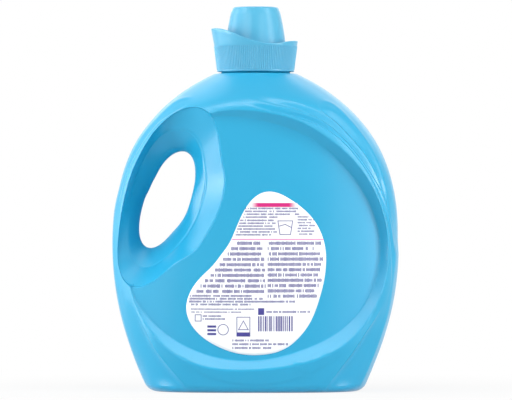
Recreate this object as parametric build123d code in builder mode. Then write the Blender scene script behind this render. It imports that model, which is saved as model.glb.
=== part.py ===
"""Fabric softener jug: a blown bottle with a through handle, a pour spout, a measuring cap and a label.

The jug stands on the XY plane with its neck on the Z axis. The mould parts on the XZ plane, the handle
is at -X and the labelled side faces -Y. All sizes are millimetres.
"""
import os
from math import copysign, cos, pi, radians, sin, sqrt, tan

from build123d import *

os.makedirs("parts", exist_ok=True)

# Bottle, overall
jug_width = 232.0
jug_depth = 128.0
shoulder_height = 256.6
wall = 1.1
foot_round = 6.0
foot_ring = 13.0
foot_hollow = 4.0

# Bottle sections from foot to shoulder, as shares of the overall sizes
height_shares = (0.0, 0.117, 0.273, 0.429, 0.585, 0.721, 0.826, 0.881, 0.910, 0.947, 0.978, 1.0)
width_shares = (0.75, 0.858, 0.960, 1.0, 0.984, 0.910, 0.781, 0.674, 0.604, 0.497, 0.384, 0.289)
depth_shares = (0.945, 1.0, 1.0, 1.0, 1.0, 1.0, 0.990, 0.962, 0.895, 0.745, 0.610, 0.516)
# How square each section is, away from the handle and towards it: 2 is an ellipse
front_square_shares = (3.0, 2.9, 2.9, 2.9, 2.8, 2.7, 2.5, 2.4, 2.3, 2.2, 2.05, 2.0)
handle_square_shares = (3.0, 2.7, 2.35, 2.1, 2.1, 2.1, 2.1, 2.1, 2.1, 2.1, 2.05, 2.0)
section_steps = 12

# Label panel: an upright cylinder sunk into both faces, with a sloped band all round
panel_recess = 7.0
panel_radius = 215.0
panel_size = 100.0
panel_x = 1.9
panel_height = 122.8
panel_band_slope = 36.0
panel_shares = (
    0.978, 0.93, 0.904, 0.916, 0.955, 1.05, 1.06, 1.03, 1.05, 1.09, 1.06, 1.005, 0.964, 0.952, 0.989, 1.002
)

# Handle: a hole through the parting plane, a lip and a funnel that opens to each face
handle_reach = 45.1
handle_height = 155.9
hole_drop = 1.6
rim_rise = 1.7
hole_length = 41.8
lip_length = 59.5
lip_depth = 27.0
rim_length = 79.3
rim_depth = 39.0
funnel_lean = 22.0
hole_shares = (
    0.445, 0.55, 0.77, 0.99, 0.81, 0.565, 0.455, 0.415, 0.445, 0.535, 0.765, 1.0, 0.715, 0.52, 0.44, 0.415
)
lip_shares = (
    0.48, 0.56, 0.70, 0.925, 0.895, 0.685, 0.55, 0.50, 0.50, 0.565, 0.755, 1.0, 0.785, 0.59, 0.495, 0.46
)
rim_shares = (
    0.56, 0.62, 0.74, 0.95, 0.79, 0.57, 0.46, 0.425, 0.445, 0.53, 0.74, 0.99, 0.75, 0.64, 0.565, 0.54
)

# Neck
neck_bore_radius = 26.3
neck_wall = 1.3
neck_height = 15.4

# Pour spout pressed into the neck
spout_play = 0.05
spout_wall = 1.4
flange_thickness = 1.4
flange_overhang = 1.0
well_depth = 23.0
well_fall = 3.0
pourer_radius = 12.5
pourer_offset = 4.0
pourer_height = 20.0
pourer_slant = 30.0
drain_width = 8.0

# Measuring cap
cap_wall = 1.3
cap_gap = 0.2
thread_room = 1.0
sleeve_length = 19.0
shelf_thickness = 1.6
cup_step = 1.0
cup_height = 35.5
cup_top_radius = 18.9
cup_bulge = 0.75
cup_round = 2.0
skirt_gap = 1.6
skirt_play = 2.0
skirt_height = 20.6
skirt_flare = 2.6
rib_count = 130
rib_height = 0.45
plain_lip = 1.6
collar_height = 14.6
collar_flare = 2.7
# Top edge of the collar, left to right: place across it and height, as shares of its radius and height
wave_place_shares = (-1.1, -0.8, -0.43, -0.08, 0.2, 0.43, 0.72, 1.1)
wave_height_shares = (0.99, 0.95, 0.62, 0.29, 0.15, 0.12, 0.24, 0.32)

# Back label
label_film = 0.2
label_size = 70.0
label_x = 5.1
label_height = 86.5
label_shares = (
    0.70, 0.77, 0.87, 0.96, 1.03, 1.05, 0.80, 0.615, 0.58, 0.62, 0.77, 0.91, 0.92, 0.87, 0.83, 0.80, 0.78,
    0.735, 0.695, 0.675
)

# Sizes that follow from the ones above
panel_face = jug_depth / 2 - panel_recess
panel_axis = panel_radius - panel_face
handle_x = handle_reach - jug_width / 2
neck_radius = neck_bore_radius + neck_wall
neck_top = shoulder_height + neck_height
well_radius = neck_bore_radius - spout_play - spout_wall
flange_top = neck_top + flange_thickness
well_floor = flange_top - well_depth
pourer_top = flange_top + pourer_height
shelf_bottom = flange_top + cap_gap
shelf_top = shelf_bottom + shelf_thickness
sleeve_radius = well_radius - thread_room
cup_root_radius = sleeve_radius + cup_step
cup_top = shelf_top + cup_height
skirt_bottom = shoulder_height + skirt_gap
skirt_top = skirt_bottom + skirt_height
skirt_radius = neck_radius + skirt_play + cap_wall
skirt_top_radius = skirt_radius + skirt_flare
collar_radius = skirt_top_radius + collar_flare
collar_top = skirt_top + collar_height


def jug_section(step, height, inset):
    """Sketch one level section of the bottle: a superellipse that is squarer away from the handle."""
    half_width = jug_width / 2 * width_shares[step] - inset
    half_depth = jug_depth / 2 * depth_shares[step] - inset
    points = []
    for place in range(section_steps):
        angle = pi / 2 + 2 * pi * place / section_steps
        square = front_square_shares[step] if cos(angle) > 0 else handle_square_shares[step]
        x = half_width * copysign(abs(cos(angle)) ** (2 / square), cos(angle))
        y = half_depth * copysign(abs(sin(angle)) ** (2 / square), sin(angle))
        points.append(Vector(x, y))
    with BuildSketch(Plane.XY.offset(height)) as section:
        with BuildLine():
            add(Edge.make_spline(points, periodic=True, parameters=range(section_steps + 1)))
        make_face()
    return section.sketch


def round_outline(x, z, length, shares, grow=0):
    """Points at equal angles round (x, z), each at its share of the length, grown outwards."""
    points = []
    for step, share in enumerate(shares):
        angle = 2 * pi * step / len(shares)
        reach = length * share + grow
        points.append((x + reach * cos(angle), z + reach * sin(angle)))
    return points


def panel_outline(level, inset):
    """Outline of the panel's sloped band at a level in front of the parting plane."""
    slope = radians(panel_band_slope)
    radius = panel_radius - inset
    points = []
    for step, share in enumerate(panel_shares):
        angle = 2 * pi * step / len(panel_shares)
        edge = panel_size * share
        sag = radius - sqrt(radius**2 - (panel_x + edge * cos(angle)) ** 2)
        edge_level = panel_face - inset - sag
        reach = edge + inset / sin(slope) + (level - edge_level) / tan(slope)
        points.append((panel_x + reach * cos(angle), panel_height + reach * sin(angle)))
    return points


def jug_half(inset):
    """Front half of the bottle's form, all its faces moved inwards by the inset."""
    with BuildPart() as form:
        levels = [inset + share * (shoulder_height - 2 * inset) for share in height_shares]
        loft([jug_section(step, level, inset) for step, level in enumerate(levels)])
        fillet(form.edges().group_by(Axis.Z)[0], foot_round - inset)
        split(bisect_by=Plane.XZ)

        # Hollow under the foot
        hollow_edge = jug_section(0, 0, foot_ring - inset)
        hollow_top = jug_section(0, foot_hollow + inset, foot_ring + 2 * foot_hollow - inset)
        loft([hollow_edge, hollow_top], ruled=True, mode=Mode.SUBTRACT)

        # Label panel
        with BuildPart(mode=Mode.SUBTRACT):
            for level in (panel_face / 2, panel_face + 2 * panel_recess):
                with BuildSketch(Plane.XZ.offset(level)):
                    with BuildLine():
                        Spline(*panel_outline(level, inset), periodic=True)
                    make_face()
            loft(ruled=True)
            with BuildSketch(Plane.XY):
                with Locations((0, panel_axis)):
                    Circle(panel_radius - inset)
            extrude(amount=shoulder_height, mode=Mode.SUBTRACT)

        # Handle hole, lip and funnel
        lean = radians(funnel_lean)
        grow = inset / sin(radians(panel_band_slope))
        with BuildPart(mode=Mode.SUBTRACT):
            with BuildSketch(Plane.XZ):
                with BuildLine():
                    hole_height = handle_height - hole_drop
                    outline = round_outline(handle_x, hole_height, hole_length, hole_shares, grow)
                    Spline(*outline, periodic=True)
                make_face()
            for depth, height, length, shares in (
                (lip_depth, handle_height, lip_length, lip_shares),
                (rim_depth, handle_height + rim_rise, rim_length, rim_shares),
            ):
                slanted = Plane(
                    origin=(handle_x, -depth, 0),
                    x_dir=(cos(lean), -sin(lean), 0),
                    z_dir=(-sin(lean), -cos(lean), 0),
                )
                with BuildSketch(slanted):
                    with BuildLine():
                        outline = round_outline(0, height, length, shares, grow)
                        Spline(*[(x / cos(lean), z) for x, z in outline], periodic=True)
                    make_face()
            loft(ruled=True)
            extrude(faces().sort_by(Axis.Y)[0], amount=jug_depth, dir=(0, -1, 0))
    return form.part


with BuildPart() as bottle:
    add(jug_half(0))
    add(jug_half(wall), mode=Mode.SUBTRACT)
    mirror(about=Plane.XZ)
    with BuildSketch(Plane.XY.offset(shoulder_height)):
        Circle(neck_radius)
    extrude(amount=neck_height)
    with BuildSketch(Plane.XY.offset(neck_top)):
        Circle(neck_bore_radius)
    extrude(amount=-neck_height - 2 * wall, mode=Mode.SUBTRACT)

with BuildPart() as pour_spout:
    with BuildSketch(Plane.XZ):
        with BuildLine():
            Polyline(
                (well_radius, well_floor),
                (well_radius, flange_top),
                (neck_radius + flange_overhang - spout_wall, flange_top),
                (neck_radius + flange_overhang - spout_wall, neck_top),
                (well_radius + spout_wall, neck_top),
                (well_radius + spout_wall, well_floor - spout_wall),
                (0, well_floor - spout_wall - well_fall),
                (0, well_floor - well_fall),
                close=True,
            )
        make_face()
    revolve(axis=Axis.Z)
    with BuildSketch(Plane.XY.offset(well_floor - well_fall)):
        with Locations((pourer_offset, 0)):
            Circle(pourer_radius)
    extrude(amount=pourer_top - well_floor + well_fall)
    with BuildSketch(Plane.XY.offset(well_floor - well_fall - spout_wall)):
        with Locations((pourer_offset, 0)):
            Circle(pourer_radius - spout_wall)
    extrude(amount=pourer_top - well_floor + well_fall + spout_wall, mode=Mode.SUBTRACT)
    with BuildSketch(Plane.XY.offset(well_floor)):
        with Locations((pourer_offset - pourer_radius, 0)):
            Rectangle(pourer_radius, drain_width)
    extrude(amount=pourer_top - well_floor, mode=Mode.SUBTRACT)
    slant = Plane(
        origin=(pourer_offset + pourer_radius, 0, pourer_top),
        x_dir=(cos(radians(pourer_slant)), 0, sin(radians(pourer_slant))),
        z_dir=(-sin(radians(pourer_slant)), 0, cos(radians(pourer_slant))),
    )
    with BuildSketch(slant):
        Circle(4 * pourer_radius)
    extrude(amount=2 * pourer_height, mode=Mode.SUBTRACT)

with BuildPart() as cap:
    sleeve_bottom = shelf_bottom - sleeve_length
    cup_middle = (shelf_top + cup_top) / 2
    cup_middle_radius = (cup_root_radius + cup_top_radius) / 2 + cup_bulge
    with BuildSketch(Plane.XZ):
        with BuildLine():
            Line((0, cup_top), (cup_top_radius, cup_top))
            ThreePointArc(
                (cup_top_radius, cup_top), (cup_middle_radius, cup_middle), (cup_root_radius, shelf_top)
            )
            Polyline(
                (cup_root_radius, shelf_top),
                (skirt_top_radius - cap_wall, shelf_top),
                (skirt_top_radius - cap_wall, skirt_top),
                (skirt_top_radius, skirt_top),
                (skirt_radius, skirt_bottom),
                (skirt_radius - cap_wall, skirt_bottom),
                (skirt_top_radius - 2 * cap_wall, shelf_bottom),
                (sleeve_radius, shelf_bottom),
                (sleeve_radius, sleeve_bottom),
                (sleeve_radius - cap_wall, sleeve_bottom),
                (sleeve_radius - cap_wall, shelf_bottom),
                (cup_root_radius - cap_wall, shelf_top),
            )
            ThreePointArc(
                (cup_root_radius - cap_wall, shelf_top),
                (cup_middle_radius - cap_wall, cup_middle),
                (cup_top_radius - cap_wall, cup_top - cap_wall),
            )
            Polyline((cup_top_radius - cap_wall, cup_top - cap_wall), (0, cup_top - cap_wall), (0, cup_top))
        make_face()
    revolve(axis=Axis.Z)
    fillet(cap.edges().filter_by(GeomType.CIRCLE).group_by(Axis.Z)[-1], cup_round)

    # Ribs round the skirt
    rib_flare = skirt_flare / skirt_height
    for height in (skirt_bottom + plain_lip, skirt_top):
        root = skirt_radius + rib_flare * (height - skirt_bottom)
        with BuildSketch(Plane.XY.offset(height)):
            with BuildLine():
                ribs = []
                for rib in range(rib_count):
                    angle = 2 * pi * rib / rib_count
                    ribs.append((root * cos(angle), root * sin(angle)))
                    angle += pi / rib_count
                    ribs.append(((root + rib_height) * cos(angle), (root + rib_height) * sin(angle)))
                Polyline(*ribs, close=True)
            make_face()
            Circle(root - cap_wall / 2, mode=Mode.SUBTRACT)
    loft(ruled=True)

    # Collar with a wavy top edge
    with BuildPart():
        with BuildSketch(Plane.XZ):
            with BuildLine():
                Polyline(
                    (skirt_top_radius - cap_wall, skirt_top),
                    (collar_radius - cap_wall, collar_top),
                    (collar_radius, collar_top),
                    (skirt_top_radius, skirt_top),
                    close=True,
                )
            make_face()
        revolve(axis=Axis.Z)
        with BuildSketch(Plane.XZ):
            with BuildLine():
                wave = [
                    (collar_radius * place, skirt_top + collar_height * height)
                    for place, height in zip(wave_place_shares, wave_height_shares)
                ]
                edge = Spline(*wave)
                Polyline(edge @ 1, (wave[-1][0], cup_top), (wave[0][0], cup_top), edge @ 0)
            make_face()
        extrude(amount=2 * collar_radius, both=True, mode=Mode.SUBTRACT)

with BuildPart() as back_label:
    with BuildSketch(Plane.XZ):
        with BuildLine():
            Spline(*round_outline(label_x, label_height, label_size, label_shares), periodic=True)
        make_face()
    extrude(amount=jug_depth)
    with BuildSketch(Plane.XY):
        with Locations((0, panel_axis)):
            Circle(panel_radius + label_film)
    extrude(amount=shoulder_height, mode=Mode.INTERSECT)
    with BuildSketch(Plane.XY):
        with Locations((0, panel_axis)):
            Circle(panel_radius)
    extrude(amount=shoulder_height, mode=Mode.SUBTRACT)

for name, piece in (
    ("bottle", bottle),
    ("pour_spout", pour_spout),
    ("cap", cap),
    ("back_label", back_label),
):
    piece.part.label = name
    export_step(piece.part, f"parts/{name}.step")
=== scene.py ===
"""Looks of a sky blue fabric softener jug: blown bottle, pour spout, measuring cap and back label.

All lengths are metres. The jug stands on the floor with its neck on Z, its handle at -X and its
labelled side at -Y, as in the frame.
"""
from math import cos, pi, radians, sin, tan

import bmesh
import bpy
import numpy as np
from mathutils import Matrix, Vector


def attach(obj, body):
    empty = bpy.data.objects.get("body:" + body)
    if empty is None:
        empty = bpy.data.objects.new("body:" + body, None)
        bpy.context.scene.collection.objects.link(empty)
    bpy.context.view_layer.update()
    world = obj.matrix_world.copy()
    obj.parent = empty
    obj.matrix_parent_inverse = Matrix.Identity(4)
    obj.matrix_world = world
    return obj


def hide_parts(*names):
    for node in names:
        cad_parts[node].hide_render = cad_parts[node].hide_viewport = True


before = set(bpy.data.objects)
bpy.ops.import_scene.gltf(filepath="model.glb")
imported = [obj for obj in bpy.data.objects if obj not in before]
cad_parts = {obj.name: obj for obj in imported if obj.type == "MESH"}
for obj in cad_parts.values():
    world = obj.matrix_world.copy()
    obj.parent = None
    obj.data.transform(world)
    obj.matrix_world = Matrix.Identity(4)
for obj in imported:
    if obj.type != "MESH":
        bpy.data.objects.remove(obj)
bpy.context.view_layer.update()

mm = 0.001

# Bottle, overall
jug_width = 232.0 * mm
jug_depth = 128.0 * mm
shoulder_height = 256.6 * mm
foot_round = 6.0 * mm
foot_ring = 13.0 * mm
foot_hollow = 4.0 * mm
foot_ease = 1.5 * mm
foot_dip = 0.4 * mm
hollow_dip = 0.6 * mm
hollow_step = 1.0 * mm
skin_trim = 0.15 * mm
height_shares = (0.0, 0.117, 0.273, 0.429, 0.585, 0.721, 0.826, 0.881, 0.910, 0.947, 0.978, 1.0)
width_shares = (0.75, 0.858, 0.960, 1.0, 0.984, 0.910, 0.781, 0.674, 0.604, 0.497, 0.384, 0.289)
depth_shares = (0.945, 1.0, 1.0, 1.0, 1.0, 1.0, 0.990, 0.962, 0.895, 0.745, 0.610, 0.516)
front_square_shares = (3.0, 2.9, 2.9, 2.9, 2.8, 2.7, 2.5, 2.4, 2.3, 2.2, 2.05, 2.0)
handle_square_shares = (3.0, 2.7, 2.35, 2.1, 2.1, 2.1, 2.1, 2.1, 2.1, 2.1, 2.05, 2.0)

# Sunk label panel
panel_radius = 215.0 * mm
panel_face = 57.0 * mm
panel_size = 100.0 * mm
panel_x = 1.9 * mm
panel_height = 122.8 * mm
panel_band_slope = radians(36.0)
panel_shares = (
    0.978, 0.93, 0.904, 0.916, 0.955, 1.05, 1.06, 1.03, 1.05, 1.09, 1.06, 1.005, 0.964, 0.952, 0.989, 1.002
)

# Handle hole, lip and funnel
handle_x = -70.9 * mm
handle_height = 155.9 * mm
hole_drop = 1.6 * mm
rim_rise = 1.7 * mm
hole_length = 41.8 * mm
lip_length = 59.5 * mm
lip_depth = 27.0 * mm
wall_roll = 0.8
wall_land = 0.42
wall_land_swing = 0.30
lip_groove = 0.6 * mm
lip_groove_width = 0.8 * mm
lip_groove_share = 0.6
rim_length = 79.3 * mm
rim_cliff = tan(radians(72.0))
rim_blend = 41
rim_sink = 2.0 * mm
funnel_least = 2.0 * mm
funnel_lean = radians(22.0)
hole_shares = (
    0.445, 0.55, 0.77, 0.99, 0.81, 0.565, 0.455, 0.415, 0.445, 0.535, 0.765, 1.0, 0.715, 0.52, 0.44, 0.415
)
lip_shares = (
    0.48, 0.56, 0.70, 0.925, 0.895, 0.685, 0.55, 0.50, 0.50, 0.565, 0.755, 1.0, 0.785, 0.59, 0.495, 0.46
)
rim_shares = (
    0.56, 0.62, 0.74, 0.95, 0.79, 0.57, 0.46, 0.425, 0.445, 0.53, 0.74, 0.99, 0.75, 0.64, 0.565, 0.54
)

# Rounding of the bottle's edges
band_foot_round = 0.3 * mm
band_edge_round = 1.0 * mm
lip_round = 0.35 * mm
rim_round = 0.9 * mm

# Moulded ridges on the bottle's sides: turns round the panel's middle in degrees, reaches from it in mm,
# height, how far the steep inner flank and the gentle outer one run in mm, and the turn in which the ends
# run out
ridges = (
    (
        (-28, -21, -11, 0, 13, 28, 44, 56, 75, 89, 99),
        (114, 113, 109, 105.5, 103.7, 102.8, 102.7, 103.2, 101.4, 104, 110.4),
        1.0, 1.5, 4.0, 24,
    ),
    (
        (2, 13, 27, 43, 57, 76, 89, 96),
        (108, 107.3, 105.2, 104.8, 107, 107.9, 110.3, 116),
        1.0, 1.5, 5.0, 24,
    ),
    (
        (-7, 0, 12, 26, 41, 51, 59, 65, 67),
        (110.3, 108.8, 107.3, 108.1, 109.4, 110.8, 112.8, 115.5, 119),
        1.6, 1.8, 7.0, 8,
    ),
    (
        (115, 117, 122, 130, 136, 143, 153, 162, 170),
        (122.9, 121.6, 121.3, 122.8, 121.7, 120, 118.1, 115.8, 114.7),
        1.4, 2.0, 7.5, 12,
    ),
    (
        (238, 244, 255, 270, 281, 297, 311),
        (114, 114.5, 115, 114.8, 114.5, 113, 111),
        0.3, 3.0, 9.0, 8,
    ),
)
# Fine grooves that run beside the silhouette from the shoulder to the foot: turns, reaches, depth and width
grooves = (
    (
        (-56.7, -46, -37.4, -28.6, -21.7, -10.8, 0, 12.3, 25.1, 38.2, 47.2, 54.7, 62, 66),
        (145.9, 132.6, 125.1, 119.7, 115.7, 112.3, 110.3, 110, 112.5, 116.3, 119, 121.8, 124, 123),
        0.5, 1.3,
    ),
    (
        (114.2, 119.3, 125.8, 134.5, 144.5, 153.4, 164.5, 174.4, 184.4, 194.2, 207.4, 218.8, 228, 234.4),
        (125.8, 128.8, 128.5, 126.8, 124, 121, 118.2, 116.5, 116.7, 118.7, 124.6, 132.7, 142.4, 150),
        0.5, 1.3,
    ),
)
# Legs at the lower corners, in mm: levels, and the places across of their inner crease and their outer edge
legs = (
    (
        (0, 11.3, 22.6, 33.1, 46.9, 59, 71.1, 80),
        (-51.6, -61.1, -70.8, -78.9, -86.9, -93.4, -98.3, -101),
        (-84.5, -91, -95.6, -99, -103.5, -106.5, -109, -110.5),
    ),
    (
        (0, 7.3, 20.2, 33.1, 46.1, 59, 71.9, 80),
        (53.2, 58.5, 68.2, 77.9, 86.8, 95.7, 102.9, 106),
        (81.5, 84.8, 90.8, 96.3, 101, 105, 108, 109.5),
    ),
)
leg_height = 3.4 * mm
leg_top = 74.0 * mm
leg_run_out = 45.0 * mm
leg_foot_share = 0.45
leg_foot_rise = 12.0 * mm
leg_round = 0.85
crease_width = 6.0 * mm
crease_share = 0.14
crease_depth = 0.22
groove_taper = 4.0
relief_foot = 6.0 * mm
relief_foot_run = 10.0 * mm
relief_limit = 1.6
relief_reach = 1.2 * mm

# Neck, spout and cap
neck_radius = 27.6 * mm
neck_bore_radius = 26.3 * mm
neck_top = 272.0 * mm
neck_root_round = 1.6 * mm
neck_edge = 0.4 * mm
neck_bore_run = 4.0 * mm
flange_top = 273.4 * mm
flange_radius = 27.2 * mm
well_radius = 24.85 * mm
well_outer_radius = 26.25 * mm
well_floor = 250.4 * mm
well_fall = 3.0 * mm
spout_wall = 1.4 * mm
pourer_radius = 12.5 * mm
pourer_offset = 4.0 * mm
pourer_top = 293.4 * mm
pourer_slant = radians(30.0)
drain_width = 8.0 * mm
spout_edge = 0.4 * mm
cap_wall = 1.3 * mm
shelf_bottom = 273.6 * mm
shelf_top = 275.2 * mm
sleeve_radius = 23.85 * mm
sleeve_bottom = 254.6 * mm
cup_root_radius = 24.85 * mm
cup_top_radius = 18.9 * mm
cup_top = 310.7 * mm
cup_bulge = 0.75 * mm
cup_round = 2.4 * mm
cup_dish = 0.5 * mm
cup_dish_shares = (0, 0.5, 0.8)
cup_edge_share = 0.88
cup_foot_round = 1.2 * mm
cup_ceiling_step = 0.3 * mm
cup_ceiling_corner = 1.0 * mm
cup_ceiling_edge = 4.0 * mm
cap_edge = 0.3 * mm
skirt_step = 0.1 * mm
sleeve_edge = 0.4 * mm
shelf_corner = 0.5 * mm
skirt_bottom = 258.2 * mm
skirt_top = 278.8 * mm
skirt_radius = 30.9 * mm
skirt_top_radius = 33.5 * mm
rib_count = 130
rib_height = 0.36 * mm
rib_width_share = 0.46
plain_lip = 1.6 * mm
collar_radius = 36.2 * mm
collar_height = 14.6 * mm
wave_place_shares = (-1.1, -0.8, -0.43, -0.08, 0.2, 0.43, 0.72, 1.1)
wave_height_shares = (0.99, 0.95, 0.62, 0.29, 0.15, 0.12, 0.24, 0.32)
thread_height = 0.4 * mm
thread_pitch = 4.2 * mm
thread_half_width = 0.9 * mm
sleeve_thread_low = 2.0 * mm
sleeve_thread_high = 4.0 * mm
well_thread_low = 6.0 * mm
well_thread_high = 3.0 * mm
thread_tip_share = 0.3
thread_run_in = 8.0
thread_form = ((-1.0, -0.3), (-0.55, 0.7), (0, 1), (0.55, 0.7), (1.0, -0.3))

# Back label
label_film = 0.2 * mm
label_edge = 0.02 * mm
label_size = 70.0 * mm
label_x = 5.1 * mm
label_height = 86.5 * mm
label_shares = (
    0.70, 0.77, 0.87, 0.96, 1.03, 1.05, 0.80, 0.615, 0.58, 0.62, 0.77, 0.91, 0.92, 0.87, 0.83, 0.80, 0.78,
    0.735, 0.695, 0.675
)

# Print on the label
print_lift = 0.05 * mm
letter_pitch = 0.92 * mm
print_seed = 7
mark_line = 0.55 * mm
pill_fade = 7.0 * mm
bar_share = 0.68
lowest_bar = 0.7
filled_share = 0.88
# Rows, in mm: level of a block's first row, step between its rows, row height, and where each row starts and
# ends across the label
print_rows = (
    (147.5, 2.3, 1.5, (-7.8, -8.2, -8.6, -9.4), (33.5, 32.0, 34.5, 18.0)),
    (138.0, 2.3, 1.5, (-12.0, -12.6, -13.4, -14.2, -14.8, -15.6), (14.0, 15.5, 13.0, 15.0, 16.5, 12.0)),
    (140.8, 2.3, 1.4, (34.0,) * 7, (42.0, 46.5, 44.0, 47.0, 43.5, 47.5, 45.0)),
    (
        119.7, 4.28, 2.9,
        (-14.5, -19.1, -21.9, -25.5, -28.4, -32.0, -35.6, -40.1, -43.7, -46.9),
        (4.2, 5.0, 4.0, 6.5, 6.0, 7.2, 6.2, 7.0, 7.6, 6.4),
    ),
    (119.7, 4.23, 2.9, (10.0,) * 11, (52.0, 46.0, 51.0, 53.5, 52.0, 53.0, 49.5, 52.5, 50.0, 46.5, 48.5)),
    (77.6, 2.3, 1.75, (-52.2, -52.6, -53.0, -53.2), (-3.7, 5.2, 31.0, -4.5)),
    (67.0, 2.4, 1.1, (-51.5, -51.0), (-1.5, -12.0)),
    (61.4, 2.3, 1.5, (-42.0, -42.0), (-27.0, -25.0)),
    (64.8, 0.0, 1.9, (9.0, 34.0), (32.0, 44.0)),
    (42.0, 3.0, 1.8, (-18.2, -18.2, -18.2), (10.0, 25.4, 12.0)),
)
# Shapes, in mm: boxes as left, right, low and high, lines as corners, the ring as its middle and radius
pill_box = (-4.6, 33.4, 148.7, 151.9)
rule_box = (-19.1, 54.5, 122.4, 123.2)
stripes_box = (2.0, 31.0, 49.3, 61.4)
stripe_widths = (0.35, 0.7, 1.05)
stripe_gaps = (0.4, 0.7, 0.95)
stripe_margin = 1.2
cup_mark = ((17.8, 137.6), (29.6, 137.6), (27.9, 126.6), (19.5, 126.6))
cup_level_mark = ((19.0, 133.4), (23.6, 134.8), (28.4, 132.4))
phone_mark = ((-48.4, 62.4), (-43.6, 62.4), (-43.6, 57.4), (-48.4, 57.4))
bin_mark = ((-15.0, 60.6), (-4.6, 60.6), (-4.6, 45.4), (-15.0, 45.4))
loop_mark = ((-9.8, 57.6), (-5.9, 50.6), (-13.7, 50.6))
water_mark = (-26.0, 50.6, 4.2)
water_box = (-38.6, -31.6, 46.2, 55.0)
water_shares = (0, 0.34, 0.68)
band_share = 0.2
badge_box = (2.0, 6.8, 62.4, 67.8)

# Mesh counts, and how the steps along the bottle's rays gather at bends and moulded lines
bottom_rays = 215
right_rays = 190
top_rays = 105
left_rays = 80
ray_steps = 332
trial_steps = 700
hole_samples = 1440
turn_samples = 721
girth_scale = 85.0 * mm
bend_limit = 0.25
bend_weight = 0.9
line_weight = 2.0
line_focus = 3.0 * mm
line_run_in = 6.0
crease_focus = 5.0 * mm
crease_run_in = 10.0 * mm
edge_focus = 1.5 * mm
step_blend = 17
ray_spread = 4
spout_columns = 180
pourer_columns = 121
pourer_rows = 14
thread_columns = 96
label_columns = 240
label_rings = 24
box_columns = 25
line_columns = 9
ring_columns = 48
double_reach = 0.001 * mm
smooth_limit = radians(50.0)
spout_smooth_limit = radians(40.0)


def cubic_line(places, values):
    """Smooth line through the values at the places, straight at its ends."""
    places = np.asarray(places, float)
    values = np.asarray(values, float)
    last = len(places) - 1
    gaps = np.diff(places)
    rows = np.eye(last + 1)
    bends = np.zeros(last + 1)
    for k in range(1, last):
        rows[k, k - 1 : k + 2] = gaps[k - 1], 2 * (gaps[k - 1] + gaps[k]), gaps[k]
        bends[k] = 6 * ((values[k + 1] - values[k]) / gaps[k] - (values[k] - values[k - 1]) / gaps[k - 1])
    bends = np.linalg.solve(rows, bends)

    def line(place):
        k = np.clip(np.searchsorted(places, place) - 1, 0, last - 1)
        a = (places[k + 1] - place) / gaps[k]
        b = (place - places[k]) / gaps[k]
        bend = ((a**3 - a) * bends[k] + (b**3 - b) * bends[k + 1]) * gaps[k] ** 2 / 6
        return a * values[k] + b * values[k + 1] + bend

    return line


def round_line(shares):
    """Smooth closed line through the shares at equal angles, from +X towards +Z."""
    count = len(shares)
    line = cubic_line(np.arange(-count, 2 * count + 1) * 2 * pi / count, (*(shares * 3), shares[0]))
    return lambda angle: line(np.mod(angle, 2 * pi))


def soft_min(a, b, blend):
    """The lower of two heights, with the ridge between them rounded off."""
    near = np.maximum(blend - np.abs(a - b), 0) / blend
    return np.minimum(a, b) - near**2 * blend / 4


def soft_rise(distance, blend):
    """Zero before the edge and the distance after it, with the corner filled to a round."""
    return blend * np.logaddexp(0, distance / blend)


# Bottle
levels = np.array(height_shares) * shoulder_height
half_widths = np.array(width_shares) * jug_width / 2 - skin_trim
half_depths = np.array(depth_shares) * jug_depth / 2 - skin_trim
girths = np.concatenate([[0], np.cumsum(np.hypot(np.diff(levels), np.diff(half_widths)))])
level_line = cubic_line(girths, levels)
width_line = cubic_line(girths, half_widths)
depth_line = cubic_line(girths, half_depths)
front_square_line = cubic_line(girths, front_square_shares)
handle_square_line = cubic_line(girths, handle_square_shares)
panel_line = round_line(panel_shares)
hole_line = round_line(hole_shares)
lip_line = round_line(lip_shares)
rim_line = round_line(rim_shares)
girth_table = np.linspace(0, girths[-1], 2000)
level_table = level_line(girth_table)
foot_girth = float(np.interp(foot_round, level_table, girth_table))
row_low = -foot_round * pi / 2
row_high = girths[-1] - foot_girth


def section_point(angle, girth, inset):
    """Place across and depth of the plain bottle form at an angle round it."""
    half_width = width_line(girth) - inset
    half_depth = depth_line(girth) - inset
    square = np.where(np.cos(angle) > 0, front_square_line(girth), handle_square_line(girth))
    across = np.abs(np.cos(angle)) / half_width
    along = np.abs(np.sin(angle)) / half_depth
    reach = (across**square + along**square) ** (-1 / square)
    return reach * np.cos(angle), reach * np.sin(angle)


def form_point(angle, row):
    """Across, depth and level of the plain bottle form. Rows under zero lie on the foot's round edge."""
    turn = np.clip(-row / foot_round, 0, pi / 2)
    foot_level = foot_round * (1 - np.sin(turn))
    girth = np.where(row < 0, np.interp(foot_level, level_table, girth_table), foot_girth + row)
    inset = foot_round * (1 - np.cos(turn))
    x, depth = section_point(angle, girth, inset)
    return x, depth, np.where(row < 0, foot_level, level_line(girth))


def round_panel(x, z):
    """Angle round the panel's middle and reach from it."""
    return np.arctan2(z - panel_height, x - panel_x), np.hypot(z - panel_height, x - panel_x)


def panel_depth(x, z):
    """Depth of the sunk panel and the sloped band round it."""
    angle, reach = round_panel(x, z)
    edge = panel_size * panel_line(angle)
    step = 0.01
    turn = panel_size * (panel_line(angle + step) - panel_line(angle - step)) / (2 * step)
    outside = (reach - edge) / np.sqrt(1 + (turn / edge) ** 2)
    on_face = np.where(outside < 0, x, panel_x + edge * np.cos(angle))
    sag = panel_radius - np.sqrt(panel_radius**2 - on_face**2)
    return panel_face - sag + tan(panel_band_slope) * soft_rise(outside, band_foot_round)


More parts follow.
